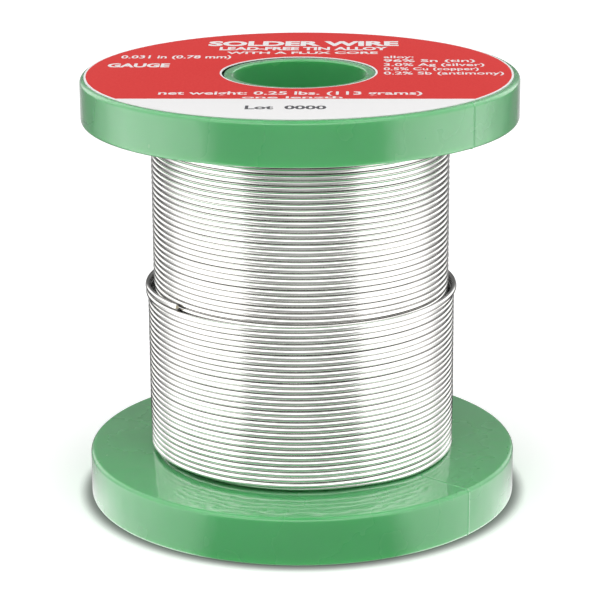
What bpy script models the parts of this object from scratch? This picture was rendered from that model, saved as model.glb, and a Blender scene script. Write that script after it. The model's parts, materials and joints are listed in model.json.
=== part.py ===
"""A spool of cored solder wire: a one-piece moulded spool, a paper label and the wound wire.

Metres, +Z up along the spool's axis. The origin is the centre of the face that the spool stands on.
"""

import math

import bmesh
import bpy
import numpy as np

# Spool moulding.
SPOOL_HEIGHT = 0.0600
FLANGE_RADIUS = 0.0300
UPPER_FLANGE = 0.0061
LOWER_FLANGE = 0.0068
RIM_WALL = 0.0016
FLANGE_WEB = 0.0014
BARREL_RADIUS = 0.01745
BARREL_WALL = 0.0015
BORE_RADIUS = 0.0092
HUB_WALL = 0.00115
MIDDLE_WEB = 0.0014
EDGE_ROUND = 0.0004
MOUTH_ROUND = 0.00025

# Ribs between the hub, the barrel and the rim.
RIB_COUNT = 4
RIB_THICKNESS = 0.0012
RIB_FIRST_ANGLE = math.radians(45)
RIB_SETBACK = 0.0003
RIB_SINK = 0.0004

# Wire and how it is wound.
WIRE_DIAMETER = 0.00078
CORE_DIAMETER = 0.00028
CORE_CLEARANCE = 0.00003
FULL_LAYERS = 4
OUTER_SHARE = 0.505
FREE_END_ANGLE = math.radians(217)
FREE_END_ARC = math.radians(90)
WIND_CLEARANCE = 0.00004

# Hole in the lower flange that holds the wire's first end.
ANCHOR_HOLE_CLEARANCE = 0.0004
ANCHOR_HOLE_ANGLE = math.radians(110)
ANCHOR_TAIL_LENGTH = 0.0060
ANCHOR_BEND_RADIUS = 0.0010
ANCHOR_CLEARANCE = 0.0001

# Paper label on the upper flange.
LABEL_RIM_MARGIN = 0.00074
LABEL_HOLE_CLEARANCE = 0.00015
LABEL_THICKNESS = 0.00012
LABEL_CLEARANCE = 0.00002

# Fineness of the solids.
ROUND_STEPS = 72
CORNER_STEPS = 3
WIRE_STEP = 0.0016
WIRE_SIDES_RESOLUTION = 2
CUTTER_MARGIN = 0.0005

# Sizes that follow from the ones above.
HUB_RADIUS = BORE_RADIUS + HUB_WALL
BARREL_INSIDE = BARREL_RADIUS - BARREL_WALL
RIM_INSIDE = FLANGE_RADIUS - RIM_WALL
LABEL_RADIUS = FLANGE_RADIUS - LABEL_RIM_MARGIN
LABEL_HOLE_RADIUS = HUB_RADIUS + LABEL_HOLE_CLEARANCE
WINDING_BOTTOM = LOWER_FLANGE
WINDING_TOP = SPOOL_HEIGHT - UPPER_FLANGE
WINDING_WIDTH = WINDING_TOP - WINDING_BOTTOM
TURNS_PER_LAYER = int(WINDING_WIDTH / WIRE_DIAMETER) - 1
PITCH = (WINDING_WIDTH - WIRE_DIAMETER) / TURNS_PER_LAYER
OUTER_TURNS = OUTER_SHARE * TURNS_PER_LAYER
OUTER_WIRE_RADIUS = BARREL_RADIUS + (FULL_LAYERS + 0.5) * WIRE_DIAMETER + WIND_CLEARANCE
FREE_END_HEIGHT = WINDING_BOTTOM + WIRE_DIAMETER / 2 + OUTER_TURNS * PITCH
ANCHOR_HOLE_RADIUS = WIRE_DIAMETER / 2 + ANCHOR_HOLE_CLEARANCE


def clear_scene():
    for old in list(bpy.data.objects):
        bpy.data.objects.remove(old, do_unlink=True)


def collection(name, hidden=False):
    made = bpy.data.collections.new(name)
    bpy.context.scene.collection.children.link(made)
    made.hide_render = hidden
    return made


def material(name, colour, roughness, metallic=0.0):
    made = bpy.data.materials.new(name)
    made.use_nodes = True
    shader = made.node_tree.nodes["Principled BSDF"]
    shader.inputs["Base Color"].default_value = (*colour, 1.0)
    shader.inputs["Roughness"].default_value = roughness
    shader.inputs["Metallic"].default_value = metallic
    return made


def rounded(corners):
    """The points of a closed outline of (x, y, radius) corners, each turned into an arc of its radius."""
    points = []
    for n, (x, y, radius) in enumerate(corners):
        here = np.array([x, y])
        if radius == 0:
            points.append(here)
            continue
        before = np.array(corners[n - 1][:2]) - here
        after = np.array(corners[(n + 1) % len(corners)][:2]) - here
        before /= np.linalg.norm(before)
        after /= np.linalg.norm(after)
        half = math.acos(np.clip(before @ after, -1, 1)) / 2
        middle = before + after
        centre = here + middle / np.linalg.norm(middle) * radius / math.sin(half)
        start = here + before * radius / math.tan(half) - centre
        end = here + after * radius / math.tan(half) - centre
        for share in np.linspace(0, 1, CORNER_STEPS + 1):
            turn = math.pi - 2 * half
            arc = (start * math.sin((1 - share) * turn) + end * math.sin(share * turn)) / math.sin(turn)
            points.append(centre + arc)
    return points


def turned(name, corners, finish, home):
    """A solid of revolution about Z. The outline runs down its outer side and up its inner side."""
    outline = rounded(corners)
    mesh = bpy.data.meshes.new(name)
    edges = [(n, (n + 1) % len(outline)) for n in range(len(outline))]
    mesh.from_pydata([(x, 0, z) for x, z in outline], edges, [])
    mesh.materials.append(finish)
    made = bpy.data.objects.new(name, mesh)
    home.objects.link(made)
    screw = made.modifiers.new("Turned", "SCREW")
    screw.axis = "Z"
    screw.angle = math.tau
    screw.steps = ROUND_STEPS
    screw.render_steps = ROUND_STEPS
    screw.use_merge_vertices = True
    screw.merge_threshold = 1e-6
    screw.use_smooth_shade = True
    return made


def wire(name, points, diameter, finish, home, capped=True):
    """A wire of a diameter along points that are measured from its origin."""
    curve = bpy.data.curves.new(name, "CURVE")
    curve.dimensions = "3D"
    curve.bevel_depth = diameter / 2
    curve.bevel_resolution = WIRE_SIDES_RESOLUTION
    curve.use_fill_caps = capped
    spline = curve.splines.new("POLY")
    spline.points.add(len(points) - 1)
    for point, where in zip(spline.points, points):
        point.co = (*where, 1.0)
    spline.use_smooth = True
    curve.materials.append(finish)
    made = bpy.data.objects.new(name, curve)
    home.objects.link(made)
    return made


def spool_outline():
    """Half of the moulding's section: both flanges, barrel, middle web and hub."""
    lower_web = LOWER_FLANGE - FLANGE_WEB
    upper_web = SPOOL_HEIGHT - UPPER_FLANGE + FLANGE_WEB
    web_bottom = (SPOOL_HEIGHT - MIDDLE_WEB) / 2
    web_top = web_bottom + MIDDLE_WEB
    return [
        (RIM_INSIDE, SPOOL_HEIGHT, 0),
        (FLANGE_RADIUS, SPOOL_HEIGHT, EDGE_ROUND),
        (FLANGE_RADIUS, WINDING_TOP, EDGE_ROUND),
        (BARREL_RADIUS, WINDING_TOP, 0),
        (BARREL_RADIUS, WINDING_BOTTOM, 0),
        (FLANGE_RADIUS, WINDING_BOTTOM, EDGE_ROUND),
        (FLANGE_RADIUS, 0, EDGE_ROUND),
        (RIM_INSIDE, 0, 0),
        (RIM_INSIDE, lower_web, 0),
        (BARREL_INSIDE, lower_web, 0),
        (BARREL_INSIDE, web_bottom, 0),
        (HUB_RADIUS, web_bottom, 0),
        (HUB_RADIUS, 0, 0),
        (BORE_RADIUS, 0, MOUTH_ROUND),
        (BORE_RADIUS, SPOOL_HEIGHT, MOUTH_ROUND),
        (HUB_RADIUS, SPOOL_HEIGHT, 0),
        (HUB_RADIUS, web_top, 0),
        (BARREL_INSIDE, web_top, 0),
        (BARREL_INSIDE, upper_web, 0),
        (RIM_INSIDE, upper_web, 0),
    ]


def make_ribs(home):
    """Radial ribs that join the hub, the barrel and both rims, a little below each rim's face."""
    inner = HUB_RADIUS - RIB_SINK
    outer = RIM_INSIDE + RIB_SINK
    barrel = BARREL_INSIDE + RIB_SINK
    bottom = RIB_SETBACK
    top = SPOOL_HEIGHT - RIB_SETBACK
    lower_web = LOWER_FLANGE - FLANGE_WEB + RIB_SINK
    upper_web = SPOOL_HEIGHT - UPPER_FLANGE + FLANGE_WEB - RIB_SINK
    outline = [
        (inner, bottom),
        (outer, bottom),
        (outer, lower_web),
        (barrel, lower_web),
        (barrel, upper_web),
        (outer, upper_web),
        (outer, top),
        (inner, top),
    ]
    curve = bpy.data.curves.new("rib_outline", "CURVE")
    curve.dimensions = "2D"
    curve.fill_mode = "BOTH"
    curve.extrude = RIB_THICKNESS / 2
    spline = curve.splines.new("POLY")
    spline.points.add(len(outline) - 1)
    for point, (x, y) in zip(spline.points, outline):
        point.co = (x, y, 0, 1)
    spline.use_cyclic_u = True
    guide = bpy.data.objects.new("rib_outline", curve)
    home.objects.link(guide)
    bpy.context.view_layer.update()
    graph = bpy.context.evaluated_depsgraph_get()
    mesh = bpy.data.meshes.new_from_object(guide.evaluated_get(graph))
    bpy.data.objects.remove(guide, do_unlink=True)
    weld_mesh(mesh)
    for n in range(RIB_COUNT):
        rib = bpy.data.objects.new(f"rib_{n + 1}", mesh)
        rib.rotation_euler = (math.pi / 2, 0, RIB_FIRST_ANGLE + n * math.tau / RIB_COUNT)
        rib.hide_render = True
        rib.display_type = "WIRE"
        home.objects.link(rib)


def weld_mesh(mesh):
    shape = bmesh.new()
    shape.from_mesh(mesh)
    bmesh.ops.remove_doubles(shape, verts=shape.verts, dist=1e-6)
    bmesh.ops.recalc_face_normals(shape, faces=shape.faces)
    shape.to_mesh(mesh)
    shape.free()


def anchor_place():
    """The centre of the anchor hole, seen from above."""
    radius = BARREL_RADIUS + ANCHOR_HOLE_RADIUS + ANCHOR_CLEARANCE
    return radius * math.cos(ANCHOR_HOLE_ANGLE), radius * math.sin(ANCHOR_HOLE_ANGLE)


def make_anchor_cutter(home):
    """A cutter that drills the lower flange's web beside the barrel."""
    depth = FLANGE_WEB + 2 * CUTTER_MARGIN
    middle = LOWER_FLANGE - FLANGE_WEB / 2
    bpy.ops.mesh.primitive_cylinder_add(
        vertices=16, radius=ANCHOR_HOLE_RADIUS, depth=depth, location=(*anchor_place(), middle)
    )
    cutter = bpy.context.object
    cutter.name = "anchor_hole_cutter"
    cutter.hide_render = True
    cutter.display_type = "WIRE"
    for owner in list(cutter.users_collection):
        owner.objects.unlink(cutter)
    home.objects.link(cutter)
    return cutter


def make_spool(parts, ribs, cutters):
    plastic = material("green_polypropylene", (0.09, 0.42, 0.15), 0.35)
    spool = turned("spool_body", spool_outline(), plastic, parts)
    join = spool.modifiers.new("Ribs", "BOOLEAN")
    join.operation = "UNION"
    join.operand_type = "COLLECTION"
    join.collection = ribs
    join.solver = "EXACT"
    drill = spool.modifiers.new("Anchor hole", "BOOLEAN")
    drill.operation = "DIFFERENCE"
    drill.object = make_anchor_cutter(cutters)
    drill.solver = "EXACT"
    return spool


def make_label(parts):
    paper = material("printed_label_paper", (0.62, 0.06, 0.06), 0.6)
    bottom = SPOOL_HEIGHT + LABEL_CLEARANCE
    top = bottom + LABEL_THICKNESS
    corners = [
        (LABEL_RADIUS, top, 0),
        (LABEL_RADIUS, bottom, 0),
        (LABEL_HOLE_RADIUS, bottom, 0),
        (LABEL_HOLE_RADIUS, top, 0),
    ]
    return turned("top_label", corners, paper, parts)


def make_layer(number, top, alloy, parts):
    """One layer of close-wound turns as a turned ring, from the lower flange up to a height."""
    inner = BARREL_RADIUS + (number - 1) * WIRE_DIAMETER + WIND_CLEARANCE
    outer = BARREL_RADIUS + number * WIRE_DIAMETER
    bottom = WINDING_BOTTOM + WIND_CLEARANCE
    corners = [(outer, top, 0), (outer, bottom, 0), (inner, bottom, 0), (inner, top, 0)]
    return turned(f"wire_layer_{number}", corners, alloy, parts)


def helix(first, last):
    """Points of the outermost turn between two angles, rising by one pitch a turn to the free end."""
    count = 2 + int((last - first) * OUTER_WIRE_RADIUS / WIRE_STEP)
    angle = np.linspace(first, last, count)
    height = FREE_END_HEIGHT + (angle - FREE_END_ANGLE) / math.tau * PITCH
    x = OUTER_WIRE_RADIUS * np.cos(angle)
    y = OUTER_WIRE_RADIUS * np.sin(angle)
    return np.column_stack([x, y, height])


def make_outer_turn(alloy, parts):
    """The last whole turn; it stops a wire's radius short of the free end's root, so that can turn."""
    first = FREE_END_ANGLE - math.tau + WIRE_DIAMETER / OUTER_WIRE_RADIUS
    last = FREE_END_ANGLE - FREE_END_ARC - (WIRE_DIAMETER / 2 + WIND_CLEARANCE) / OUTER_WIRE_RADIUS
    return wire("wire_last_turn", helix(first, last), WIRE_DIAMETER, alloy, parts)


def make_free_end(alloy, flux, parts):
    """The wire's loose end, a tube of alloy round a core of flux, turning about its root."""
    points = helix(FREE_END_ANGLE - FREE_END_ARC, FREE_END_ANGLE)
    hinge = bpy.data.objects.new("free_end_hinge", None)
    hinge.location = points[0]
    parts.objects.link(hinge)
    tube = wire("wire_free_end", points - points[0], WIRE_DIAMETER, alloy, parts, capped=False)
    tube.parent = hinge
    wall = tube.modifiers.new("Alloy wall", "SOLIDIFY")
    wall.thickness = (WIRE_DIAMETER - CORE_DIAMETER) / 2 - CORE_CLEARANCE
    wall.offset = -1
    wall.use_rim = True
    core = wire("flux_core", points - points[0], CORE_DIAMETER, flux, parts)
    core.parent = hinge


def make_anchor_tail(alloy, parts):
    """The wire's first end: down through the anchor hole, then bent to lie under the flange's web."""
    x, y = anchor_place()
    side = np.array([-math.sin(ANCHOR_HOLE_ANGLE), math.cos(ANCHOR_HOLE_ANGLE), 0])
    down = np.array([0, 0, -1])
    top = np.array([x, y, WINDING_BOTTOM])
    lying = LOWER_FLANGE - FLANGE_WEB - WIRE_DIAMETER / 2 - ANCHOR_CLEARANCE
    bend_start = top + down * (WINDING_BOTTOM - lying - ANCHOR_BEND_RADIUS)
    points = [top, (top + bend_start) / 2]
    for turn in np.linspace(0, math.pi / 2, 5):
        across = side * (1 - math.cos(turn)) + down * math.sin(turn)
        points.append(bend_start + ANCHOR_BEND_RADIUS * across)
    for run in np.arange(WIRE_STEP, ANCHOR_TAIL_LENGTH, WIRE_STEP):
        points.append(points[6] + side * run)
    return wire("wire_anchor_tail", points, WIRE_DIAMETER, alloy, parts)


def main():
    clear_scene()
    parts = collection("solder_wire_spool")
    ribs = collection("rib_shapes", hidden=True)
    cutters = collection("spool_cutters", hidden=True)
    make_ribs(ribs)
    make_spool(parts, ribs, cutters)
    make_label(parts)
    alloy = material("tin_alloy_wire", (0.72, 0.71, 0.69), 0.25, 1.0)
    flux = material("rosin_flux", (0.55, 0.36, 0.12), 0.4)
    for number in range(1, FULL_LAYERS + 1):
        make_layer(number, WINDING_TOP - WIND_CLEARANCE, alloy, parts)
    outer_top = FREE_END_HEIGHT - PITCH - WIRE_DIAMETER / 2 - WIND_CLEARANCE
    make_layer(FULL_LAYERS + 1, outer_top, alloy, parts)
    make_outer_turn(alloy, parts)
    make_free_end(alloy, flux, parts)
    make_anchor_tail(alloy, parts)


main()
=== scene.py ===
# %% [markdown]
# # A spool of solder wire
# A green moulded spool stands on a white table. About thirty metres of thin, bright solder wire
# are wound on it, four full layers and a half one, and a round paper label covers its upper flange.
# Every piece but the lettering is a surface worked out with numpy. All is in metres, with +Z up along
# the spool's axis.

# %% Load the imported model
import json
import math

import bpy
import numpy as np
from mathutils import Matrix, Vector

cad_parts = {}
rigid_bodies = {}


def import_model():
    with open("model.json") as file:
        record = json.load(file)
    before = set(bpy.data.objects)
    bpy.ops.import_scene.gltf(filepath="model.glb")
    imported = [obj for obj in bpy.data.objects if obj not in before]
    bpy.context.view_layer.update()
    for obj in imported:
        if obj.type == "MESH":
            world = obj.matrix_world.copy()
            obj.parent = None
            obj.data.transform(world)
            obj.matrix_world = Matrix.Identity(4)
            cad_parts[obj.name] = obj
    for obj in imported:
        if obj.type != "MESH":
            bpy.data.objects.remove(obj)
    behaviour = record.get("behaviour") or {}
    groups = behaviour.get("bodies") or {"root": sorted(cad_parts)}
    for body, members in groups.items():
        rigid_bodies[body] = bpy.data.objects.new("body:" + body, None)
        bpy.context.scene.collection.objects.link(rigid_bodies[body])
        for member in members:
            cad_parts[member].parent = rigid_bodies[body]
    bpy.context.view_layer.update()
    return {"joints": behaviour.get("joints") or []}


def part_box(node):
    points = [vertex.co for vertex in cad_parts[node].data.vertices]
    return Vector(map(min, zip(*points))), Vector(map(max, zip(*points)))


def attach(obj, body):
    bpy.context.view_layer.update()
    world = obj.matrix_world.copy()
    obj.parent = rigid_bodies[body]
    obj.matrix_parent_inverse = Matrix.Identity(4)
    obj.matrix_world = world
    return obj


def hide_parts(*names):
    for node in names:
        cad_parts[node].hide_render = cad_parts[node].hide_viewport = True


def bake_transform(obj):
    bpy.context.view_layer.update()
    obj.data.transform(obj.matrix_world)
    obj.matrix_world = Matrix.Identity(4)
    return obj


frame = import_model()
MM = 0.001

# %% [markdown]
# ## Sizes that the model already fixes
# The solids say how thick the wire is, how wide each layer is and where the loose end turns,
# so those sizes are read from their boxes. What the boxes don't say, such as the walls and the bore,
# is given where it is used.

# %% Sizes
layer_radius = [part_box(f"wire_layer_{n}")[1].x for n in range(1, 6)]
WIRE = layer_radius[3] - layer_radius[2]
spool_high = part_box("spool_body")[1]
FLANGE_RADIUS = spool_high.x
SPOOL_HEIGHT = spool_high.z
wind_low, wind_high = (corner.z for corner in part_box("wire_layer_1"))
label_low, label_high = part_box("top_label")
joint = frame["joints"][0]
HINGE = np.array(joint["pos_m"])
BARREL_RADIUS = layer_radius[0] - WIRE
print(f"wire {WIRE / MM:.3f} mm, barrel radius {BARREL_RADIUS / MM:.2f} mm")
print(f"flange radius {FLANGE_RADIUS / MM:.2f} mm, height {SPOOL_HEIGHT / MM:.2f} mm")
print(f"winding from {wind_low / MM:.2f} to {wind_high / MM:.2f} mm")

# %% [markdown]
# ## The camera
# A long lens from about a third of a metre away looks down on the spool at seventeen degrees.
# The camera is turned by hand from three axes, because that keeps its small roll exact.

# %% Camera
CAMERA_DISTANCE = 342.2 * MM
CAMERA_ELEVATION = math.radians(16.895)
CAMERA_ROLL = math.radians(-0.367)
CAMERA_AIM = np.array([0.0, 0.0, 27.65 * MM])
CAMERA_SIDE = 0.168 * MM
LENS = 146.4

forward = np.array([0.0, math.cos(CAMERA_ELEVATION), -math.sin(CAMERA_ELEVATION)])
right = np.array([1.0, 0.0, 0.0])
up = np.cross(right, forward)
rolled_right = math.cos(CAMERA_ROLL) * right + math.sin(CAMERA_ROLL) * up
rolled_up = math.cos(CAMERA_ROLL) * up - math.sin(CAMERA_ROLL) * right

lens = bpy.data.cameras.new("camera")
lens.lens = LENS
lens.sensor_width = 36.0
lens.clip_start = 0.01
lens.clip_end = 20.0
camera = bpy.data.objects.new("camera", lens)
bpy.context.scene.collection.objects.link(camera)
turned_axes = np.eye(4)
turned_axes[:3, 0] = rolled_right
turned_axes[:3, 1] = rolled_up
turned_axes[:3, 2] = -forward
turned_axes[:3, 3] = CAMERA_AIM - forward * CAMERA_DISTANCE - right * CAMERA_SIDE
camera.matrix_world = Matrix(turned_axes.tolist())
bpy.context.scene.camera = camera
print("camera at", [round(v / MM, 1) for v in turned_axes[:3, 3]], "mm")

# %% [markdown]
# ## Helpers for surfaces
# Almost everything on a spool is either turned about one axis or drawn along a path. Both are grids:
# one parameter runs along the outline or the path and the other runs round it. The helpers work the
# whole grid out as one array and hand it to the mesh in a single step.

# %% Mesh helpers


def mesh_object(name, points, faces, finish, smooth_below=math.radians(40)):
    """A shaded mesh object from an (n, 3) array of points and a list of arrays of faces."""
    mesh = bpy.data.meshes.new(name)
    corners = np.concatenate([f.ravel() for f in faces]).astype(np.int32)
    sizes = np.concatenate([np.full(len(f), f.shape[1]) for f in faces])
    starts = np.concatenate([[0], np.cumsum(sizes)[:-1]]).astype(np.int32)
    mesh.vertices.add(len(points))
    mesh.loops.add(len(corners))
    mesh.polygons.add(len(sizes))
    mesh.vertices.foreach_set("co", points.astype(np.float32).ravel())
    mesh.loops.foreach_set("vertex_index", corners)
    mesh.polygons.foreach_set("loop_start", starts)
    mesh.update(calc_edges=True)
    mesh.validate()
    mesh.shade_smooth()
    mesh.set_sharp_from_angle(angle=smooth_below)
    mesh.materials.append(finish)
    made = bpy.data.objects.new(name, mesh)
    bpy.context.scene.collection.objects.link(made)
    return made


def grid_faces(rows, columns, close_rows=False):
    """Quads of a rows x columns grid of points: (i, j), (i, j+1), (i+1, j+1), (i+1, j). Columns close."""
    i = np.arange(rows if close_rows else rows - 1)[:, None]
    j = np.arange(columns)[None, :]
    here = i * columns + j
    beside = i * columns + (j + 1) % columns
    below = (i + 1) % rows * columns + j
    across = (i + 1) % rows * columns + (j + 1) % columns
    return np.stack([here, beside, across, below], axis=-1).reshape(-1, 4)


ARC_STEPS = 8


def rounded(corners, steps=ARC_STEPS):
    """A closed outline of (x, y, radius) corners, each turned into an arc.

    With unit vectors a and b to the neighbours and half their angle h, the arc's centre is
    corner + (a + b) / |a + b| * radius / sin(h), and its points turn from one touching point to the other.
    """
    points = []
    for n, (x, y, radius) in enumerate(corners):
        here = np.array([x, y])
        if radius == 0:
            points.append(here[None])
            continue
        a = np.array(corners[n - 1][:2]) - here
        b = np.array(corners[(n + 1) % len(corners)][:2]) - here
        a, b = a / np.linalg.norm(a), b / np.linalg.norm(b)
        half = math.acos(np.clip(a @ b, -1, 1)) / 2
        centre = here + (a + b) / np.linalg.norm(a + b) * radius / math.sin(half)
        first = here + a * radius / math.tan(half) - centre
        last = here + b * radius / math.tan(half) - centre
        turn = math.pi - 2 * half
        share = np.linspace(0, 1, steps + 1)[:, None]
        arc = (first * np.sin((1 - share) * turn) + last * np.sin(share * turn)) / math.sin(turn)
        points.append(centre + arc)
    return np.concatenate(points)


def turned(outline, angles):
    """A closed outline carried round Z: P(t, a) = (r(t) cos a, r(t) sin a, z(t)). Rows are t, columns a."""
    r, z = outline[:, 0][:, None], outline[:, 1][:, None]
    return np.stack([r * np.cos(angles), r * np.sin(angles), z + 0 * angles], axis=-1)


def smoothstep(t):
    """0 before 0, 1 after 1, and t * t * (3 - 2 t) between."""
    t = np.clip(t, 0, 1)
    return t * t * (3 - 2 * t)


square = rounded([(0, 0, 0.2), (1, 0, 0.2), (1, 1, 0.2), (0, 1, 0.2)])
print("a square with rounded corners has", len(square), "points")


# %% [markdown]
# ## Helpers for finishes
# Colours are written as sRGB hex values, and turned linear here,
# because shaders add light linearly. One function adds a node, sets it and links it.

# %% Material helpers


def linear(hex_colour):
    """An sRGB hex colour as linear RGBA: c / 12.92 below 0.04045, else ((c + 0.055) / 1.055) ** 2.4."""
    c = np.array([int(hex_colour[n : n + 2], 16) / 255 for n in (1, 3, 5)])
    value = np.where(c <= 0.04045, c / 12.92, ((c + 0.055) / 1.055) ** 2.4)
    return (*value, 1.0)


def add_node(tree, kind, settings=None, inputs=None):
    """Adds a node, sets its own properties, and sets or links its inputs by name or number."""
    made = tree.nodes.new(kind)
    for name, value in (settings or {}).items():
        setattr(made, name, value)
    for name, value in (inputs or {}).items():
        if isinstance(value, bpy.types.NodeSocket):
            tree.links.new(value, made.inputs[name])
        else:
            made.inputs[name].default_value = value
    return made


def new_material(name):
    """An empty node material with its shader, and the tree that they are in."""
    made = bpy.data.materials.new(name)
    made.use_nodes = True
    tree = made.node_tree
    return made, tree, tree.nodes["Principled BSDF"]


print("mid grey #808080 is", round(float(linear("#808080")[0]), 3), "in linear light")


# %% [markdown]
# ## The green plastic
# Spools like this one are injection moulded in polypropylene. Polypropylene is never quite opaque:
# light goes a millimetre or two in and comes out again, so thin edges look paler than thick walls.
# The mould is polished, which leaves a satin skin with a faint orange-peel swell and a few flow marks.

# %% Polypropylene
GREEN = "#4dae68"
GREEN_FLOW = "#43a45e"
FLOW_SIZE = 9 * MM
PEEL_SIZE = 4.0 * MM
PEEL_HEIGHT = 0.16 * MM
SCATTER_DEPTH = 3.0 * MM


def polypropylene():
    """Moulded polypropylene: satin, slightly translucent, with flow marks and orange peel."""
    made, tree, shader = new_material("moulded_polypropylene_satin")
    place = add_node(tree, "ShaderNodeTexCoord").outputs["Object"]
    flow, peel = (
        add_node(tree, "ShaderNodeTexNoise", inputs={"Vector": place, "Scale": 1 / size, "Detail": detail})
        for size, detail in ((FLOW_SIZE, 3.0), (PEEL_SIZE, 1.0))
    )
    colour = add_node(tree, "ShaderNodeMix", {"data_type": "RGBA"}, {"Factor": flow.outputs["Fac"]})
    colour.inputs[6].default_value = linear(GREEN)
    colour.inputs[7].default_value = linear(GREEN_FLOW)
    gloss = add_node(
        tree,
        "ShaderNodeMapRange",
        inputs={"Value": flow.outputs["Fac"], "To Min": 0.22, "To Max": 0.32},
    )
    bump = add_node(
        tree,
        "ShaderNodeBump",
        inputs={"Height": peel.outputs["Fac"], "Strength": 0.6, "Distance": PEEL_HEIGHT},
    )
    tree.links.new(colour.outputs[2], shader.inputs["Base Color"])
    tree.links.new(gloss.outputs["Result"], shader.inputs["Roughness"])
    tree.links.new(bump.outputs["Normal"], shader.inputs["Normal"])
    tree.links.new(bump.outputs["Normal"], shader.inputs["Coat Normal"])
    shader.inputs["IOR"].default_value = 1.49
    shader.inputs["Subsurface Weight"].default_value = 0.7
    shader.inputs["Subsurface Radius"].default_value = (0.35, 1.0, 0.45)
    shader.inputs["Subsurface Scale"].default_value = SCATTER_DEPTH
    shader.inputs["Coat Weight"].default_value = 1.0
    shader.inputs["Coat Roughness"].default_value = 0.05
    shader.inputs["Sheen Weight"].default_value = 0.35
    shader.inputs["Sheen Roughness"].default_value = 0.30
    return made


plastic = polypropylene()
print("plastic:", plastic.name)

# %% [markdown]
# ## The spool body
# The body is one moulding: two thick flanges, the barrel that carries the wire and a hub tube round
# the bore. The outer face of each flange is cored out so that the walls stay thin, and ribs join
# what the cores leave. All but the ribs is one outline carried round the axis. The mould's two halves
# meet on a plane, where a hair of plastic is left standing: the grid gets a narrow column there,
# raised outwards by the height of that ridge.

# %% Spool body
WIND_CLEARANCE = 0.04 * MM
UPPER_FLANGE = SPOOL_HEIGHT - wind_high - WIND_CLEARANCE
LOWER_FLANGE = wind_low - WIND_CLEARANCE
RIM_WALL = 1.6 * MM
FLANGE_WEB = 1.4 * MM
BARREL_WALL = 1.5 * MM
BORE_RADIUS = 9.2 * MM
HUB_WALL = 1.15 * MM
MIDDLE_WEB = 1.4 * MM
EDGE_ROUND = 0.60 * MM
ROOT_ROUND = 0.3 * MM
MOUTH_ROUND = 0.25 * MM
RIM_ROUND = 0.15 * MM
HUB_ROUND = 0.1 * MM
HUB_RADIUS = BORE_RADIUS + HUB_WALL
BARREL_INSIDE = BARREL_RADIUS - BARREL_WALL
RIM_INSIDE = FLANGE_RADIUS - RIM_WALL

ROUND_STEPS = 256
PARTING_ANGLE = math.radians(-41.5)
RIDGE_HALF_WIDTH = 0.11 * MM
RIDGE_HEIGHT = 0.06 * MM


def spool_outline():
    """Half of the body's section, down its outer side and up its inner side."""
    top, low_web = SPOOL_HEIGHT, LOWER_FLANGE - FLANGE_WEB
    high_web = top - UPPER_FLANGE + FLANGE_WEB
    web_low, web_high = (top - MIDDLE_WEB) / 2, (top + MIDDLE_WEB) / 2
    return rounded(
        [
            (RIM_INSIDE, top, RIM_ROUND),
            (FLANGE_RADIUS, top, EDGE_ROUND),
            (FLANGE_RADIUS, top - UPPER_FLANGE, EDGE_ROUND),
            (BARREL_RADIUS, top - UPPER_FLANGE, ROOT_ROUND),
            (BARREL_RADIUS, LOWER_FLANGE, ROOT_ROUND),
            (FLANGE_RADIUS, LOWER_FLANGE, EDGE_ROUND),
            (FLANGE_RADIUS, 0, EDGE_ROUND),
            (RIM_INSIDE, 0, RIM_ROUND),
            (RIM_INSIDE, low_web, ROOT_ROUND),
            (BARREL_INSIDE, low_web, ROOT_ROUND),
            (BARREL_INSIDE, web_low, ROOT_ROUND),
            (HUB_RADIUS, web_low, ROOT_ROUND),
            (HUB_RADIUS, 0, HUB_ROUND),
            (BORE_RADIUS, 0, MOUTH_ROUND),
            (BORE_RADIUS, top, MOUTH_ROUND),
            (HUB_RADIUS, top, HUB_ROUND),
            (HUB_RADIUS, web_high, ROOT_ROUND),
            (BARREL_INSIDE, web_high, ROOT_ROUND),
            (BARREL_INSIDE, high_web, ROOT_ROUND),
            (RIM_INSIDE, high_web, ROOT_ROUND),
        ]
    )


def spool_body():
    """The turned body: P(t, a) as in turned(), with the parting ridge.

    The ridge moves the columns on the parting plane along the outline's normal, on the outer side only.
    """
    outline = spool_outline()
    half = RIDGE_HALF_WIDTH / FLANGE_RADIUS
    plain = np.linspace(0, math.tau, ROUND_STEPS, endpoint=False)
    seams = np.array([PARTING_ANGLE % math.tau, (PARTING_ANGLE + math.pi) % math.tau])
    near = np.abs((plain[:, None] - seams + math.pi) % math.tau - math.pi).min(1) < 2 * half
    angles = np.sort(np.concatenate([plain[~near], seams, seams - half, seams + half]))
    grid = turned(outline, angles)
    ahead, behind = np.roll(outline, -1, axis=0), np.roll(outline, 1, axis=0)
    along = ahead - behind
    normal = np.stack([-along[:, 1], along[:, 0]], axis=-1)
    normal /= np.linalg.norm(normal, axis=1)[:, None]
    outer = slice(ARC_STEPS + 1, 7 * (ARC_STEPS + 1))
    for seam in seams:
        column = int(np.argmin(np.abs(angles - seam)))
        rise = normal[outer] * RIDGE_HEIGHT
        grid[outer, column, 0] += rise[:, 0] * math.cos(seam)
        grid[outer, column, 1] += rise[:, 0] * math.sin(seam)
        grid[outer, column, 2] += rise[:, 1]
    faces = grid_faces(len(outline), len(angles), close_rows=True)[:, ::-1]
    return mesh_object("spool_body_moulding", grid.reshape(-1, 3), [faces], plastic)


body = spool_body()
print("spool body:", len(body.data.vertices), "points")
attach(body, "spool")
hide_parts("spool_body")

# %% [markdown]
# ## The ribs
# Four thin walls run from the hub through the barrel's wall to the rims and keep the cored flanges
# stiff. Each is one flat outline with a thickness. Their edges sink a little into the body's walls,
# as the plastic runs together there in the mould.

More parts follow.
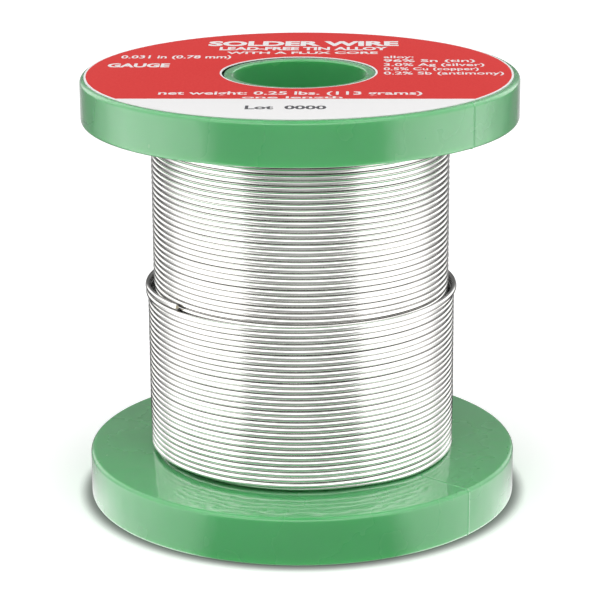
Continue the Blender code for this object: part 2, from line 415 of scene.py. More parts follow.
# %% Ribs
RIB_COUNT = 4
RIB_THICKNESS = 1.2 * MM
RIB_SETBACK = 0.3 * MM
RIB_SINK = 0.4 * MM
RIB_ROUND = 0.12 * MM
RIB_FIRST_ANGLE = math.radians(45)


def rib(number):
    """A flat outline in (r, z) given a thickness: P = r * e_r + z * e_z + side * thickness / 2 * e_a."""
    low, high = RIB_SETBACK, SPOOL_HEIGHT - RIB_SETBACK
    low_web = LOWER_FLANGE - FLANGE_WEB + RIB_SINK
    high_web = SPOOL_HEIGHT - UPPER_FLANGE + FLANGE_WEB - RIB_SINK
    inner, outer, barrel = HUB_RADIUS - RIB_SINK, RIM_INSIDE + RIB_SINK, BARREL_INSIDE + RIB_SINK
    web_low, web_high = (SPOOL_HEIGHT - MIDDLE_WEB) / 2 + RIB_SINK, (SPOOL_HEIGHT + MIDDLE_WEB) / 2 - RIB_SINK
    sides = {
        "lower": (
            [inner, outer, outer, barrel, barrel, inner],
            [low, low, low_web, low_web, web_low, web_low],
        ),
        "upper": (
            [inner, barrel, barrel, outer, outer, inner],
            [web_high, web_high, high_web, high_web, high, high],
        ),
    }
    angle = RIB_FIRST_ANGLE + number * math.tau / RIB_COUNT
    along = np.array([math.cos(angle), math.sin(angle), 0.0])
    across = np.array([-math.sin(angle), math.cos(angle), 0.0]) * RIB_THICKNESS / 2
    for side, (r, z) in sides.items():
        r, z = np.array(r), np.array(z)
        flat = r[:, None] * along + z[:, None] * np.array([0.0, 0.0, 1.0])
        points = np.concatenate([flat - across, flat + across])
        count = len(r)
        j = np.arange(count)
        walls = np.stack([j, j + count, (j + 1) % count + count, (j + 1) % count], axis=-1)
        front, back = np.arange(count)[None], np.arange(count, 2 * count)[None, ::-1]
        made = mesh_object(f"rib_{side}_{number + 1}", points, [walls, front, back], plastic)
        bevel = made.modifiers.new("edges", "BEVEL")
        bevel.width = RIB_ROUND
        bevel.segments = 2
        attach(made, "spool")


for number in range(RIB_COUNT):
    rib(number)
print("ribs:", RIB_COUNT, "at each end")

# %% [markdown]
# ## The solder alloy
# Lead-free solder is nearly all tin. Drawn through a die it comes out bright, with fine lines along
# its length, and handling leaves it slightly dull in patches. Where two turns touch, the colour is
# darkened: painted shade in the grooves. The wire_uv attribute tells the finish where it is: x runs
# along the wire in metres, and y falls from the outer side of the turn to its inner side. The snipped
# end has the same metal, matt.

# %% Tin alloy
TIN = "#efeeec"
TIN_DULL = "#d9d8d5"
DULL_SIZE = 7 * MM
DIE_LINE = 0.09 * MM
DIE_LINE_LENGTH = 3 * MM
DIE_LINE_DEPTH = 0.01 * MM
HALF_ROUND = math.pi / 2 * WIRE
# Painted shade in the grooves: the colour falls to this share where a turn faces its neighbours.
GROOVE_SHADE = 0.50
GROOVE_SHADE_FROM, GROOVE_SHADE_TO = 0.48 * HALF_ROUND, 0.72 * HALF_ROUND


def tin_alloy(name, smoothest, roughest):
    """Drawn tin: duller patches, die lines along it, painted groove shade; roughness between two values."""
    made, tree, shader = new_material(name)
    place = add_node(tree, "ShaderNodeTexCoord").outputs["Object"]
    along = add_node(tree, "ShaderNodeAttribute", {"attribute_name": "wire_uv"}).outputs["Vector"]
    patches = add_node(
        tree, "ShaderNodeTexNoise", inputs={"Vector": place, "Scale": 1 / DULL_SIZE, "Detail": 4.0}
    )
    stretch = add_node(
        tree,
        "ShaderNodeMapping",
        inputs={"Vector": along, "Scale": (1 / DIE_LINE_LENGTH, 1 / DIE_LINE, 1.0)},
    )
    lines = add_node(
        tree,
        "ShaderNodeTexNoise",
        inputs={"Vector": stretch.outputs["Vector"], "Scale": 1.0, "Detail": 1.0},
    )
    colour = add_node(tree, "ShaderNodeMix", {"data_type": "RGBA"}, {"Factor": patches.outputs["Fac"]})
    colour.inputs[6].default_value = linear(TIN)
    colour.inputs[7].default_value = linear(TIN_DULL)
    gloss = add_node(
        tree,
        "ShaderNodeMapRange",
        inputs={
            "Value": patches.outputs["Fac"],
            "From Min": 0.3,
            "From Max": 0.7,
            "To Min": smoothest,
            "To Max": roughest,
        },
    )
    bump = add_node(
        tree,
        "ShaderNodeBump",
        inputs={"Height": lines.outputs["Fac"], "Strength": 0.15, "Distance": DIE_LINE_DEPTH},
    )
    across = add_node(tree, "ShaderNodeSeparateXYZ", inputs={"Vector": along}).outputs["Y"]
    # Painted shade: the colour darkens towards the sides of the wire where turns touch.
    groove_shade = add_node(
        tree,
        "ShaderNodeMapRange",
        {"interpolation_type": "SMOOTHSTEP"},
        {"Value": across, "From Min": GROOVE_SHADE_FROM, "From Max": GROOVE_SHADE_TO, "To Min": GROOVE_SHADE},
    )
    tint = add_node(
        tree,
        "ShaderNodeVectorMath",
        {"operation": "SCALE"},
        {0: colour.outputs[2], "Scale": groove_shade.outputs["Result"]},
    )
    tree.links.new(tint.outputs["Vector"], shader.inputs["Base Color"])
    tree.links.new(gloss.outputs["Result"], shader.inputs["Roughness"])
    tree.links.new(bump.outputs["Normal"], shader.inputs["Normal"])
    shader.inputs["Metallic"].default_value = 1.0
    return made


alloy = tin_alloy("drawn_tin_alloy_bright", 0.07, 0.13)
snipped = tin_alloy("snipped_tin_alloy_matt", 0.50, 0.60)
print("metals:", alloy.name, "and", snipped.name)

# %% [markdown]
# ## Winding
# A winding machine turns the spool and feeds the wire along it, so each layer is a helix whose turns
# lie a wire's thickness apart. At a flange the wire climbs on to the layer below and the feed turns
# back, which makes the layers lean left and right by turns. A wire is a circle carried along that
# path; the frame that carries it is the path's own direction and the direction away from the axis.

# %% Wire helpers


def tube(path, outward, radii, sides):
    """A round wire: P(s, a) = C(s) + r (cos a * N(s) + sin a * B(s)).

    C is the path, T its direction, N the outward direction squared to T, and B = T x N.
    radii is one radius, or an (n, 2) array with the half widths along N and B at each point of the path.
    """
    along = np.gradient(path, axis=0)
    along /= np.linalg.norm(along, axis=1)[:, None]
    normal = outward - (outward * along).sum(1)[:, None] * along
    normal /= np.linalg.norm(normal, axis=1)[:, None]
    side = np.cross(along, normal)
    radii = np.broadcast_to(radii, (len(path), 2))
    a = np.linspace(0, math.tau, sides, endpoint=False)
    ring = np.cos(a)[None, :, None] * (normal * radii[:, :1])[:, None] + np.sin(a)[None, :, None] * (
        side * radii[:, 1:]
    )[:, None]
    return path[:, None] + ring


def wire_object(name, path, outward, radii, sides, finish):
    """A solid wire with flat ends, carrying its length along and round as the wire_uv attribute."""
    grid = tube(path, outward, radii, sides)
    rows = len(path)
    points = np.concatenate([grid.reshape(-1, 3), path[:1], path[-1:]])
    faces = grid_faces(rows, sides)
    j = np.arange(sides)
    first = np.stack([j, (j + 1) % sides, np.full(sides, rows * sides)], axis=-1)
    last_row = (rows - 1) * sides
    last = np.stack([last_row + (j + 1) % sides, last_row + j, np.full(sides, rows * sides + 1)], axis=-1)
    made = mesh_object(name, points, [faces, first[:, ::-1], last[:, ::-1]], finish)
    steps = np.linalg.norm(np.diff(path, axis=0), axis=1)
    length = np.concatenate([[0], np.cumsum(steps)])
    round_it = np.abs(np.linspace(-1, 1, sides, endpoint=False)) * math.pi / 2 * WIRE
    uv = np.zeros((len(points), 3), np.float32)
    uv[: rows * sides, 0] = np.repeat(length, sides)
    uv[: rows * sides, 1] = np.tile(round_it, rows)
    uv[rows * sides + 1, 0] = length[-1]
    uv[rows * sides :, 1] = HALF_ROUND
    made.data.attributes.new("wire_uv", "FLOAT_VECTOR", "POINT").data.foreach_set("vector", uv.ravel())
    return made, length[-1]


def away_from_axis(path):
    """The unit direction from the axis to each point."""
    flat = path * np.array([1.0, 1.0, 0.0])
    return flat / np.linalg.norm(flat, axis=1)[:, None]


print(f"wire {WIRE / MM:.2f} mm thick, half round {HALF_ROUND / MM:.2f} mm")


# %% [markdown]
# ### The path of a layer
# Wire is never laid perfectly: each turn wanders a few hundredths of a millimetre. That wander is
# a sum of slow waves along the wire, the same in every run.

# %% Layers
FULL_TURNS = int((wind_high - wind_low) / WIRE) - 1
PITCH = (wind_high - wind_low - WIRE) / FULL_TURNS
FREE_END_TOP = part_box("wire_free_end")[1].z - WIRE / 2
OUTER_TURNS = (FREE_END_TOP - wind_low - WIRE / 2) / PITCH
HINGE_RADIUS = math.hypot(HINGE[0], HINGE[1])
FREE_END_ARC = math.radians(90)
FREE_END_ANGLE = math.atan2(HINGE[1], HINGE[0]) + FREE_END_ARC
OUTER_START = FREE_END_ANGLE - OUTER_TURNS * math.tau
CLIMB_ARC = math.radians(28)
WANDER = 0.018 * MM
WANDER_OUTWARDS = 0.6
WAVES, WAVES_SUM = 5, 2.2
SLACK = 0.34 * MM
SLACK_TURNS, SLACK_START, SLACK_END = 1.2, 0.15, 0.09


def wander(turns, seed):
    """A sum of slow sine waves of the number of turns, divided so that it stays within about one."""
    draw = np.random.default_rng(seed)
    rates = draw.uniform(0.11, 1.7, WAVES)
    phases = draw.uniform(0, math.tau, WAVES)
    return sum(np.sin(math.tau * rate * turns + phase) for rate, phase in zip(rates, phases)) / WAVES_SUM


def layer_path(number, steps, first=0.0, last=1.0):
    """Points of a layer: C(t) = (R(t) cos a, R(t) sin a, z(t)), with t in turns from the layer's start.

    z climbs or falls by one pitch a turn. R rises from the layer below over the first part of a turn.
    The last turn of layer five has gone slack at the sides: R grows by up to SLACK * cos(a) ** 2.
    """
    turns = OUTER_TURNS if number == 5 else FULL_TURNS
    count = int(turns * steps * (last - first)) + 1
    t = np.linspace(first * turns, last * turns, count)
    angle = OUTER_START + t * math.tau
    rises = number % 2 == 1
    start = wind_low + WIRE / 2 if rises else wind_high - WIRE / 2
    height = start + (1 if rises else -1) * PITCH * t
    radius = HINGE_RADIUS if number == 5 else layer_radius[number - 1] - WIRE / 2
    climb = 0 if number == 1 else WIRE * (1 - smoothstep(t * math.tau / CLIMB_ARC))
    edge = np.clip(np.minimum(t, turns - t) / 2, 0, 1)
    height = height + edge * WANDER * wander(t, number)
    radius = radius - climb + WANDER * WANDER_OUTWARDS * wander(t, 10 + number)
    if number == 5:
        loose = smoothstep((t - turns + SLACK_TURNS) / SLACK_START) * smoothstep((turns - t) / SLACK_END)
        radius = radius + SLACK * loose * np.cos(angle) ** 2
    return np.stack([radius * np.cos(angle), radius * np.sin(angle), height], axis=-1)


ROOT_LEAD = math.radians(12)
HIDDEN_STEPS, HIDDEN_SIDES = 60, 6
SHOWN_STEPS, SHOWN_SIDES = 120, 12
ROOT_SHARE = 1 - (FREE_END_ARC + ROOT_LEAD) / math.tau / OUTER_TURNS
wound = 0.0
for number in range(1, 6):
    steps, sides = (SHOWN_STEPS, SHOWN_SIDES) if number > 3 else (HIDDEN_STEPS, HIDDEN_SIDES)
    path = layer_path(number, steps, last=ROOT_SHARE if number == 5 else 1.0)
    layer, length = wire_object(f"wound_layer_{number}", path, away_from_axis(path), WIRE / 2, sides, alloy)
    wound += length
    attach(layer, "spool")
    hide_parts(f"wire_layer_{number}")
    if number == 5:
        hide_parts("wire_last_turn")
print(f"{FULL_TURNS} turns in a full layer at {PITCH / MM:.3f} mm, {OUTER_TURNS:.1f} in the outer one")
print(f"{wound:.1f} m wound")

# %% [markdown]
# ## The loose end
# The last quarter turn can be lifted. It is a wire like the rest, with one difference: where it was
# snipped, the cutter's jaws pinched it a little flat. Solder for electronics has a core of flux,
# which shows as a pale dot in that end. The piece starts a little before the root, where the wire
# bends.

# %% Loose end
PINCH_LENGTH = 1.1 * MM
PINCH_FLAT, PINCH_WIDE = 0.34, 0.10
CORE_RADIUS = 0.21 * MM
CORE_OUT = 0.09 * MM
CORE_POINTS, CORE_SIDES = 12, 10
FLUX, FLUX_DARK = "#efe6cf", "#c9b78e"
SPECK_SIZE = 0.1 * MM


def free_end():
    """The end of layer five; its half widths change by the pinch over the last millimetre."""
    path = layer_path(5, 240, first=ROOT_SHARE)
    steps = np.linalg.norm(np.diff(path, axis=0), axis=1)
    left = np.concatenate([np.cumsum(steps[::-1])[::-1], [0.0]])
    pinch = smoothstep(1 - left / PINCH_LENGTH)
    radii = WIRE / 2 * np.stack([1 - PINCH_FLAT * pinch, 1 + PINCH_WIDE * pinch], axis=-1)
    made, length = wire_object("loose_end", path, away_from_axis(path), radii, SHOWN_SIDES, alloy)
    made.data.materials.append(snipped)
    finishes = np.zeros(len(made.data.polygons), np.int32)
    finishes[-SHOWN_SIDES:] = 1
    made.data.polygons.foreach_set("material_index", finishes)
    return made, path, length


loose_end, end_path, end_length = free_end()
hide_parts("wire_free_end")
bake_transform(loose_end)
print(f"loose end {end_length / MM:.1f} mm long")


def flux_core():
    """Flux: a pale resin, glassy where it is cut, that stands out a little from the snipped end."""
    made, tree, shader = new_material("pale_flux_resin_glassy")
    place = add_node(tree, "ShaderNodeTexCoord").outputs["Object"]
    specks = add_node(tree, "ShaderNodeTexNoise", inputs={"Vector": place, "Scale": 1 / SPECK_SIZE})
    colour = add_node(tree, "ShaderNodeMix", {"data_type": "RGBA"}, {"Factor": specks.outputs["Fac"]})
    colour.inputs[6].default_value = linear(FLUX)
    colour.inputs[7].default_value = linear(FLUX_DARK)
    tree.links.new(colour.outputs[2], shader.inputs["Base Color"])
    shader.inputs["Roughness"].default_value = 0.25
    way = end_path[-1] - end_path[-2]
    core_path = end_path[-CORE_POINTS:] + way / np.linalg.norm(way) * CORE_OUT
    outwards = away_from_axis(core_path)
    core, _ = wire_object("flux_core_end", core_path, outwards, CORE_RADIUS, CORE_SIDES, made)
    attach(core, "free_end")
    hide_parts("flux_core")


flux_core()

# %% [markdown]
# ## The wire's first end
# Before winding, the wire's first end goes through a small hole beside the barrel and is bent over
# under the flange. It is only seen from below.

# %% First end
anchor_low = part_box("wire_anchor_tail")[0]
ANCHOR_ANGLE = math.radians(110)
ANCHOR_HOLE_RADIUS = 0.79 * MM
ANCHOR_CLEARANCE = 0.1 * MM
ANCHOR_BEND = 1.0 * MM
ANCHOR_RUN = 5.9 * MM


def anchor_tail():
    """A straight drop, a quarter circle and a straight run under the flange."""
    radius = BARREL_RADIUS + ANCHOR_HOLE_RADIUS + ANCHOR_CLEARANCE
    side = np.array([-math.sin(ANCHOR_ANGLE), math.cos(ANCHOR_ANGLE), 0.0])
    outward = np.array([math.cos(ANCHOR_ANGLE), math.sin(ANCHOR_ANGLE), 0.0])
    lying = anchor_low.z + WIRE / 2
    top = outward * radius + np.array([0.0, 0.0, LOWER_FLANGE])
    start = outward * radius + np.array([0.0, 0.0, lying + ANCHOR_BEND])
    turn = np.linspace(0, math.pi / 2, 12)[:, None]
    arc = start + ANCHOR_BEND * (side * (1 - np.cos(turn)) - np.array([0.0, 0.0, 1.0]) * np.sin(turn))
    run = arc[-1] + side * np.linspace(0, ANCHOR_RUN, 12)[1:, None]
    drop = top + (start - top) * np.linspace(0, 1, 5)[:-1, None]
    path = np.concatenate([drop, arc, run])
    outwards = np.broadcast_to(outward, path.shape)
    made, length = wire_object("wire_first_end", path, outwards, WIRE / 2, SHOWN_SIDES, alloy)
    print(f"first end {length / MM:.1f} mm long")
    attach(made, "spool")
    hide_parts("wire_anchor_tail")


anchor_tail()

# %% [markdown]
# ## The label
# The label is a ring of coated paper, printed red, with a white band left for writing. It was punched
# after printing, and the punch never lands quite in the middle, so a hair of white shows along its
# edges. The print is a pattern of the distance from the label's centre and of one straight line.

# %% Label
LABEL_RADIUS = label_high.x
LABEL_HOLE_RADIUS = HUB_RADIUS + 0.15 * MM
LABEL_ROUND = 0.04 * MM
LABEL_TURN = math.radians(-1.8)
LABEL_SHIFT = -0.15 * MM
LABEL_MARGIN = 0.28 * MM
HOLE_MARGIN = 0.26 * MM
BAND_EDGE = -17.2 * MM
LABEL_RED = "#dc3a38"
LABEL_RED_FIBRE = "#d23533"
LABEL_WHITE = "#fbfafa"
FIBRE = 0.35 * MM
RIPPLE = 4 * MM
RIPPLE_HALF = 0.05 * MM


def label_paper():
    """Coated paper: red where it is printed, white along its edges and in the band, with a faint fibre."""
    made, tree, shader = new_material("coated_label_paper_printed")
    place = add_node(tree, "ShaderNodeTexCoord").outputs["Object"]
    centred = add_node(
        tree,
        "ShaderNodeMapping",
        {"vector_type": "TEXTURE"},
        {"Vector": place, "Location": (LABEL_SHIFT, 0, 0), "Rotation": (0, 0, LABEL_TURN)},
    )
    ripple = add_node(
        tree, "ShaderNodeTexNoise", inputs={"Vector": place, "Scale": 1 / RIPPLE, "Detail": 2.0}
    )
    split = add_node(tree, "ShaderNodeSeparateXYZ", inputs={"Vector": centred.outputs["Vector"]})
    flat = add_node(tree, "ShaderNodeCombineXYZ", inputs={"X": split.outputs["X"], "Y": split.outputs["Y"]})
    distance = add_node(tree, "ShaderNodeVectorMath", {"operation": "LENGTH"}, {0: flat.outputs["Vector"]})
    uneven = add_node(
        tree,
        "ShaderNodeMath",
        {"operation": "MULTIPLY_ADD"},
        {0: ripple.outputs["Fac"], 1: 2 * RIPPLE_HALF, 2: distance.outputs["Value"]},
    )
    inside = add_node(
        tree,
        "ShaderNodeMath",
        {"operation": "LESS_THAN"},
        {0: uneven.outputs[0], 1: LABEL_RADIUS - LABEL_MARGIN + RIPPLE_HALF},
    )
    outside = add_node(
        tree,
        "ShaderNodeMath",
        {"operation": "GREATER_THAN"},
        {0: uneven.outputs[0], 1: LABEL_HOLE_RADIUS + HOLE_MARGIN + RIPPLE_HALF},
    )
    above = add_node(
        tree, "ShaderNodeMath", {"operation": "GREATER_THAN"}, {0: split.outputs["Y"], 1: BAND_EDGE}
    )
    printed = inside.outputs[0]
    for also in (outside, above):
        both = add_node(tree, "ShaderNodeMath", {"operation": "MULTIPLY"}, {0: printed, 1: also.outputs[0]})
        printed = both.outputs[0]
    fibre = add_node(tree, "ShaderNodeTexNoise", inputs={"Vector": place, "Scale": 1 / FIBRE, "Detail": 3.0})
    ink = add_node(tree, "ShaderNodeMix", {"data_type": "RGBA"}, {"Factor": fibre.outputs["Fac"]})
    ink.inputs[6].default_value = linear(LABEL_RED)
    ink.inputs[7].default_value = linear(LABEL_RED_FIBRE)
    colour = add_node(tree, "ShaderNodeMix", {"data_type": "RGBA"}, {"Factor": printed})
    colour.inputs[6].default_value = linear(LABEL_WHITE)
    tree.links.new(ink.outputs[2], colour.inputs[7])
    gloss = add_node(
        tree,
        "ShaderNodeMapRange",
        inputs={"Value": fibre.outputs["Fac"], "To Min": 0.42, "To Max": 0.55},
    )
    bump = add_node(
        tree,
        "ShaderNodeBump",
        inputs={"Height": fibre.outputs["Fac"], "Strength": 0.08, "Distance": 0.02 * MM},
    )
    tree.links.new(colour.outputs[2], shader.inputs["Base Color"])
    tree.links.new(gloss.outputs["Result"], shader.inputs["Roughness"])
    tree.links.new(bump.outputs["Normal"], shader.inputs["Normal"])
    shader.inputs["Specular IOR Level"].default_value = 0.25
    return made


def label():
    """A thin ring turned round an axis that is a little to one side of the spool's."""
    outline = rounded(
        [
            (LABEL_RADIUS, label_high.z, LABEL_ROUND),
            (LABEL_RADIUS, label_low.z, 0),
            (LABEL_HOLE_RADIUS, label_low.z, 0),
            (LABEL_HOLE_RADIUS, label_high.z, LABEL_ROUND),
        ],
        steps=3,
    )
    angles = np.linspace(0, math.tau, ROUND_STEPS, endpoint=False)
    grid = turned(outline, angles) + np.array([LABEL_SHIFT, 0, 0])
    faces = grid_faces(len(outline), len(angles), close_rows=True)[:, ::-1]
    made = mesh_object("paper_label", grid.reshape(-1, 3), [faces], label_paper())
    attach(made, "spool")
    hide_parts("top_label")


label()
print(f"label {2 * LABEL_RADIUS / MM:.1f} mm across with a {2 * LABEL_HOLE_RADIUS / MM:.1f} mm hole")

# %% [markdown]
# ## The lettering
# The print only says what any spool of solder wire says. Letters are flat shapes of a text object,
# made a mesh, stretched to the width that they have on the label, and laid on the paper a hundredth
# of a millimetre thick, as ink is.

# %% Lettering
INK = 0.012 * MM
CAPITAL = 0.7


def plain_ink(name, light, dark, roughness):
    """Ink or bare paper with a faint mottle from the paper's fibre."""
    made, tree, shader = new_material(name)
    place = add_node(tree, "ShaderNodeTexCoord").outputs["Object"]
    fibre = add_node(tree, "ShaderNodeTexNoise", inputs={"Vector": place, "Scale": 1 / FIBRE, "Detail": 3.0})
    colour = add_node(tree, "ShaderNodeMix", {"data_type": "RGBA"}, {"Factor": fibre.outputs["Fac"]})
    colour.inputs[6].default_value = linear(light)
    colour.inputs[7].default_value = linear(dark)
    tree.links.new(colour.outputs[2], shader.inputs["Base Color"])
    shader.inputs["Roughness"].default_value = roughness
    return made


white_ink = plain_ink("white_label_print", "#fdfcfc", "#f0eeee", 0.5)
black_ink = plain_ink("stamped_black_ink", "#2d2d30", "#55555a", 0.6)


def lettering(name, words, left, right, base, height, ink=white_ink, weight=0.0):
    """Words from left to right on a base line, capitals of a height, all in metres on the label."""
    text = bpy.data.curves.new(name, "FONT")
    text.body = words
    text.extrude = INK / 2
    text.offset = weight
    text.resolution_u = 3
    helper = bpy.data.objects.new(name, text)
    bpy.context.scene.collection.objects.link(helper)
    bpy.context.view_layer.update()
    mesh = bpy.data.meshes.new_from_object(helper.evaluated_get(bpy.context.evaluated_depsgraph_get()))
    bpy.data.objects.remove(helper, do_unlink=True)
    points = np.empty(len(mesh.vertices) * 3, np.float32)
    mesh.vertices.foreach_get("co", points)
    points = points.reshape(-1, 3).astype(float)
    low, high = points.min(0), points.max(0)
    x = left + (points[:, 0] - low[0]) / (high[0] - low[0]) * (right - left)
    y = base + points[:, 1] / CAPITAL * height
    c, s = math.cos(LABEL_TURN), math.sin(LABEL_TURN)
    z = label_high.z + points[:, 2] + INK / 2
    placed = np.stack([c * x - s * y + LABEL_SHIFT, s * x + c * y, z], axis=-1)
    mesh.vertices.foreach_set("co", placed.astype(np.float32).ravel())
    mesh.materials.clear()
    mesh.materials.append(ink)
    made = bpy.data.objects.new(name, mesh)
    bpy.context.scene.collection.objects.link(made)
    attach(made, "spool")


LINES = [
    ("print_title", "SOLDER WIRE", -13.6, 13.8, 18.8, 3.2, 0.045),
    ("print_kind", "LEAD-FREE TIN ALLOY", -11.8, 12.2, 15.6, 2.1, 0.04),
    ("print_core", "WITH A FLUX CORE", -10.6, 10.8, 12.8, 1.5, 0.03),
    ("print_gauge", "0.031 in (0.78 mm)", -25.3, -9.8, 9.6, 2.0, 0.02),
    ("print_gauge_name", "GAUGE", -26.6, -18.0, 3.4, 2.4, 0.04),
    ("print_alloy", "alloy:", 11.6, 15.8, 9.7, 1.6, 0.015),
    ("print_tin", "96% Sn (tin)", 11.6, 24.3, 7.0, 1.8, 0.015),
    ("print_silver", "3.0% Ag (silver)", 11.6, 25.5, 4.2, 1.8, 0.015),
    ("print_copper", "0.5% Cu (copper)", 11.6, 24.6, 1.3, 1.8, 0.015),
    ("print_antimony", "0.2% Sb (antimony)", 11.6, 27.9, -1.6, 1.8, 0.015),
    ("print_weight", "net weight: 0.25 lbs. (113 grams)", -18.0, 16.6, -14.6, 1.9, 0.02),
    ("print_use", "one length", -6.9, 6.2, -16.85, 1.1, 0.02),
]
for name, words, left, right, base, height, weight in LINES:
    lettering(name, words, left * MM, right * MM, base * MM, height * MM, weight=weight)
lettering("print_lot", "Lot  0000", -6.2 * MM, 4.2 * MM, -23.4 * MM, 2.0 * MM, ink=black_ink, weight=0.03)
print("lettering:", len(LINES) + 1, "lines")

# %% [markdown]
# ## The room
# Bright metal shows the room rather than itself, so the room is what gives this wire its look. Two
# tall soft boxes stand at the sides, a bright band hangs above the front, and behind the side boxes
# the room is dark, which draws the dark edges of the winding. All of it is worked out from the
# direction in which a ray leaves, as rings of (angle from the front in degrees, light). Matt things
# get less of this light than reflections do, and the camera itself sees plain white round the spool.

# %% Room


def azimuth_ramp(tree, x, y, stops):
    """A grey value from the angle between the front (-Y) and the direction (x, y), the same on both sides."""
    front = add_node(tree, "ShaderNodeMath", {"operation": "MULTIPLY"}, {0: y, 1: -1.0})
    azimuth = add_node(tree, "ShaderNodeMath", {"operation": "ARCTAN2"}, {0: x, 1: front.outputs[0]})
    width = add_node(tree, "ShaderNodeMath", {"operation": "ABSOLUTE"}, {0: azimuth.outputs[0]})
    share = add_node(tree, "ShaderNodeMath", {"operation": "DIVIDE"}, {0: width.outputs[0], 1: math.pi})
    shade = add_node(tree, "ShaderNodeValToRGB", inputs={"Fac": share.outputs[0]})
    ramp = shade.color_ramp
    while len(ramp.elements) < len(stops):
        ramp.elements.new(0.5)
    for element, (degrees, light) in zip(ramp.elements, stops):
        element.position = degrees / 180
        element.color = (light, light, light, 1.0)
    return shade.outputs["Color"]


HORIZON_LIGHT = [
    (0, 0.42), (24, 0.30), (40, 0.40), (52, 1.80), (66, 2.00), (100, 1.80), (110, 1.00),
    (120, 0.70), (130, 1.50), (150, 1.40), (160, 0.10), (180, 0.05),
]
HIGH_LIGHT = [
    (0, 2.40), (30, 2.30), (45, 2.00), (60, 1.70), (98, 1.60), (112, 1.60), (127, 1.70), (148, 1.60),
    (160, 0.50), (172, 0.30), (180, 0.30),
]
CEILING_LIGHT = [(0, 0.30), (28, 0.40), (50, 2.00), (80, 2.40), (105, 2.00), (140, 0.60), (180, 0.40)]
HIGH_STEP, CEILING_STEP = (0.10, 0.36), (0.68, 0.90)
SOFT_SHARE = 0.18


def room():
    """A ring of light at the horizon, one above it and the ceiling; the camera sees plain white.

    Each step is the height of the ray's direction, from 0 to 1, over which one ring fades into the next.
    """
    world = bpy.data.worlds.new("studio")
    bpy.context.scene.world = world
    world.use_nodes = True
    tree = world.node_tree
    tree.nodes.clear()
    direction = add_node(tree, "ShaderNodeTexCoord").outputs["Generated"]
    split = add_node(tree, "ShaderNodeSeparateXYZ", inputs={"Vector": direction})
    x, y, z = (split.outputs[axis] for axis in "XYZ")
    horizon = azimuth_ramp(tree, x, y, HORIZON_LIGHT)
    high = azimuth_ramp(tree, x, y, HIGH_LIGHT)
    ceiling = azimuth_ramp(tree, x, y, CEILING_LIGHT)
    light = horizon
    for above, (low, top) in ((high, HIGH_STEP), (ceiling, CEILING_STEP)):
        share = add_node(
            tree,
            "ShaderNodeMapRange",
            {"interpolation_type": "SMOOTHSTEP"},
            {"Value": z, "From Min": low, "From Max": top},
        )
        mixed = add_node(tree, "ShaderNodeMix", {"data_type": "RGBA"}, {"Factor": share.outputs["Result"]})
        tree.links.new(light, mixed.inputs[6])
        tree.links.new(above, mixed.inputs[7])
        light = mixed.outputs[2]
    path = add_node(tree, "ShaderNodeLightPath")
    soft = add_node(
        tree,
        "ShaderNodeMapRange",
        inputs={"Value": path.outputs["Is Diffuse Ray"], "To Min": 1.0, "To Max": SOFT_SHARE},
    )
    dimmed = add_node(
        tree,
        "ShaderNodeVectorMath",
        {"operation": "SCALE"},
        {0: light, "Scale": soft.outputs["Result"]},
    )
    shown = add_node(tree, "ShaderNodeMix", {"data_type": "RGBA"}, {"Factor": path.outputs["Is Camera Ray"]})
    tree.links.new(dimmed.outputs["Vector"], shown.inputs[6])
    shown.inputs[7].default_value = (1.0, 1.0, 1.0, 1.0)
    background = add_node(tree, "ShaderNodeBackground", inputs={"Color": shown.outputs[2], "Strength": 1.0})
    add_node(tree, "ShaderNodeOutputWorld", inputs={"Surface": background.outputs[0]})


room()
print("room:", len(HORIZON_LIGHT) + len(HIGH_LIGHT) + len(CEILING_LIGHT), "stops of light")

# %% [markdown]
# ## The table
# The table is a large matt white sheet. Its own glow is painted light: reflections see it lit at the
# sides and shaded in front, with painted shade close to the spool, and matt things are lit by the same
# glow from below. Each of those shades is a step between two distances in millimetres with the least
# share of light. The camera sees white paper with a painted contact shadow, darkest where the spool
# stands on it.

# %% Table
TABLE_LIGHT = [
    (0, 0.60), (24, 0.50), (42, 0.55), (54, 2.20), (76, 2.60), (100, 2.30), (120, 0.70), (134, 0.10),
    (150, 0.10), (164, 0.50), (180, 0.70),
]
TABLE_SHADE_START = 14 * MM
# Painted shade round the spool in the glow, and a painted contact shadow in the colour the camera sees:
NEAR_SHADE = (32, 80, 0.62)
CONTACT_SHADE = (30, 32.4, 0.25)
FAR_GLOW = (150, 1200, 0.28)
SPILL = 0.95
TABLE_HALF = 4.0


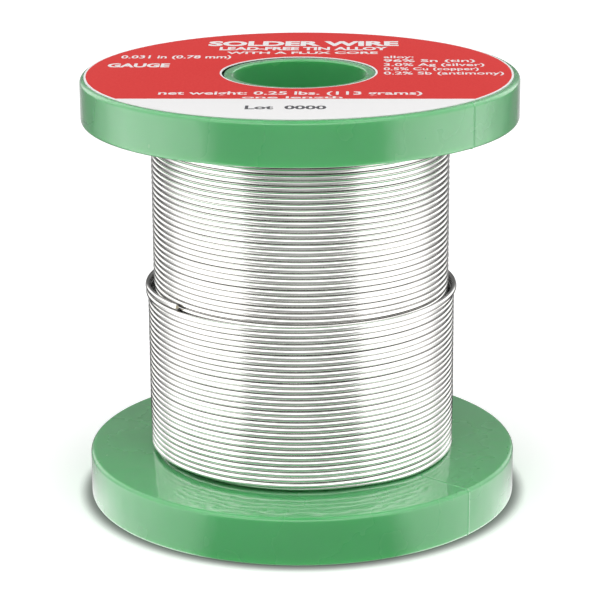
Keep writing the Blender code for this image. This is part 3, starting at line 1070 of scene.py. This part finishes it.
def table_top():
    """A matt white sheet: base colour = painted contact shadow, own glow = azimuth light * near shade."""
    corner = np.array([[-1, -1, 0], [1, -1, 0], [1, 1, 0], [-1, 1, 0]]) * TABLE_HALF
    made, tree, shader = new_material("matt_white_table")
    place = add_node(tree, "ShaderNodeTexCoord").outputs["Object"]
    split = add_node(tree, "ShaderNodeSeparateXYZ", inputs={"Vector": place})
    back = add_node(
        tree, "ShaderNodeMath", {"operation": "ADD"}, {0: split.outputs["Y"], 1: TABLE_SHADE_START}
    )
    shade = azimuth_ramp(tree, split.outputs["X"], back.outputs[0], TABLE_LIGHT)
    grain = add_node(tree, "ShaderNodeTexNoise", inputs={"Vector": place, "Scale": 1 / (2 * MM)})
    gloss = add_node(
        tree,
        "ShaderNodeMapRange",
        inputs={"Value": grain.outputs["Fac"], "To Min": 0.7, "To Max": 0.9},
    )
    reach = add_node(tree, "ShaderNodeVectorMath", {"operation": "LENGTH"}, {0: place}).outputs["Value"]
    near, contact, glow = (
        add_node(
            tree,
            "ShaderNodeMapRange",
            {"interpolation_type": "SMOOTHSTEP"},
            {"Value": reach, "From Min": start * MM, "From Max": end * MM, "To Min": least},
        ).outputs["Result"]
        for start, end, least in (NEAR_SHADE, CONTACT_SHADE, FAR_GLOW)
    )
    dimmed = add_node(tree, "ShaderNodeMath", {"operation": "MULTIPLY"}, {0: shade, 1: near})
    white = add_node(tree, "ShaderNodeMath", {"operation": "MULTIPLY"}, {0: contact, 1: glow})
    seen = add_node(tree, "ShaderNodeLightPath").outputs["Is Camera Ray"]
    own = add_node(tree, "ShaderNodeMix", {"data_type": "RGBA"}, {"Factor": seen})
    tree.links.new(dimmed.outputs[0], own.inputs[6])
    tree.links.new(white.outputs[0], own.inputs[7])
    paint = add_node(tree, "ShaderNodeMix", {"data_type": "RGBA"}, {"Factor": seen})
    paint.inputs[6].default_value = (0.0, 0.0, 0.0, 1.0)
    tree.links.new(contact, paint.inputs[7])
    tree.links.new(gloss.outputs["Result"], shader.inputs["Roughness"])
    tree.links.new(paint.outputs[2], shader.inputs["Base Color"])
    soft = add_node(tree, "ShaderNodeLightPath").outputs["Is Diffuse Ray"]
    spill = add_node(tree, "ShaderNodeMix", {"data_type": "RGBA"}, {"Factor": soft})
    tree.links.new(own.outputs[2], spill.inputs[6])
    spill.inputs[7].default_value = (SPILL, SPILL, SPILL, 1.0)
    tree.links.new(spill.outputs[2], shader.inputs["Emission Color"])
    shader.inputs["Emission Strength"].default_value = 1.0
    shader.inputs["Specular IOR Level"].default_value = 0.0
    table = mesh_object("table", corner, [np.array([[0, 1, 2, 3]])], made)
    table.location.z = -0.02 * MM


table_top()
print(f"table {2 * TABLE_HALF:.0f} m wide")

# %% [markdown]
# ## The lamp
# One large soft box hangs two metres above. It lights the paper, the plastic and the table, and is
# kept out of reflections, because the room already says what the bright wire reflects.

# %% Soft box
LAMP_PLACE, LAMP_AIM = (0.0, -0.35, 1.95), (0.0, 0.0, 0.02)
LAMP_SIZE = (1.4, 1.4)
LAMP_POWER = 25.0


def soft_box(name, place, aim, size, power):
    """A rectangular area light at a place, facing a point: its -Z axis is (aim - place) / |aim - place|."""
    light = bpy.data.lights.new(name, "AREA")
    light.shape = "RECTANGLE"
    light.size, light.size_y = size
    light.energy = power
    lamp = bpy.data.objects.new(name, light)
    bpy.context.scene.collection.objects.link(lamp)
    forwards = np.array(aim) - np.array(place)
    forwards /= np.linalg.norm(forwards)
    sideways = np.cross(forwards, [0.0, 0.0, 1.0])
    sideways /= np.linalg.norm(sideways)
    axes = np.eye(4)
    axes[:3, 0], axes[:3, 1], axes[:3, 2] = sideways, np.cross(sideways, forwards), -forwards
    axes[:3, 3] = place
    lamp.matrix_world = Matrix(axes.tolist())
    lamp.visible_glossy = False


soft_box("soft_box_above", LAMP_PLACE, LAMP_AIM, LAMP_SIZE, LAMP_POWER)
bpy.context.scene.view_settings.view_transform = "Standard"
print("lamps:", len(bpy.data.lights))
